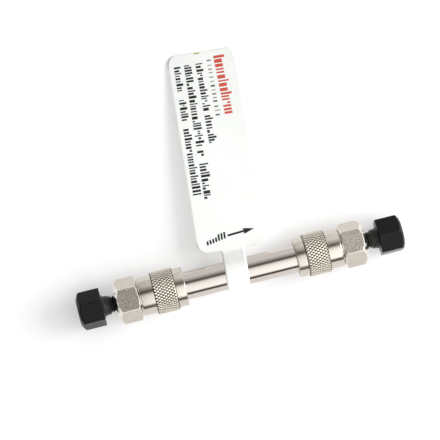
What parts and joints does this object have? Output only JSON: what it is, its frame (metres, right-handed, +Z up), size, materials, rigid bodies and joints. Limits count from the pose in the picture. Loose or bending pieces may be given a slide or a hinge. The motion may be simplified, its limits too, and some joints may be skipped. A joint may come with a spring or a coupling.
{
  "type": "hplc column",
  "caption": "Short packed chromatography column with knurled nuts, hex end fittings, screw-in end plugs and a tag looped round the tube.",
  "frame": {"origin": "on the column's axis at the middle of the tube", "axes": "+X along the column in the direction of flow, +Y towards the tag's flag, +Z up as the column lies"},
  "size_m": [0.093, 0.0721, 0.012],
  "materials": {
    "polished_steel": "polished stainless bar",
    "turned_steel": "fine-turned stainless with a knurled band",
    "blasted_steel": "bead-blasted flats with bright turned bevels",
    "spring_steel": "plain spring steel",
    "frit_metal": "sintered porous stainless",
    "plug_plastic": "satin black moulded plastic",
    "seal_plastic": "natural machined plastic",
    "tag_film": "white printed film",
    "bed_silica": "packed fine powder"
  },
  "bodies": {
    "column": {"column_tube": "polished_steel", "packed_bed": "bed_silica", "label_tag": "tag_film", "inlet_frit": "frit_metal", "inlet_frit_ring": "seal_plastic", "inlet_retaining_ring": "spring_steel", "inlet_knurled_nut": "turned_steel", "inlet_end_fitting": "blasted_steel", "outlet_frit": "frit_metal", "outlet_frit_ring": "seal_plastic", "outlet_retaining_ring": "spring_steel", "outlet_knurled_nut": "turned_steel", "outlet_end_fitting": "blasted_steel"},
    "inlet_plug": {"inlet_plug": "plug_plastic"},
    "outlet_plug": {"outlet_plug": "plug_plastic"}
  },
  "joints": [
    {"name": "inlet_plug_out", "type": "slide", "parent": "column", "child": "inlet_plug", "axis": [-1, 0, 0], "range_m": [0, 0.025]},
    {"name": "outlet_plug_out", "type": "slide", "parent": "column", "child": "outlet_plug", "axis": [1, 0, 0], "range_m": [0, 0.025]}
  ]
}
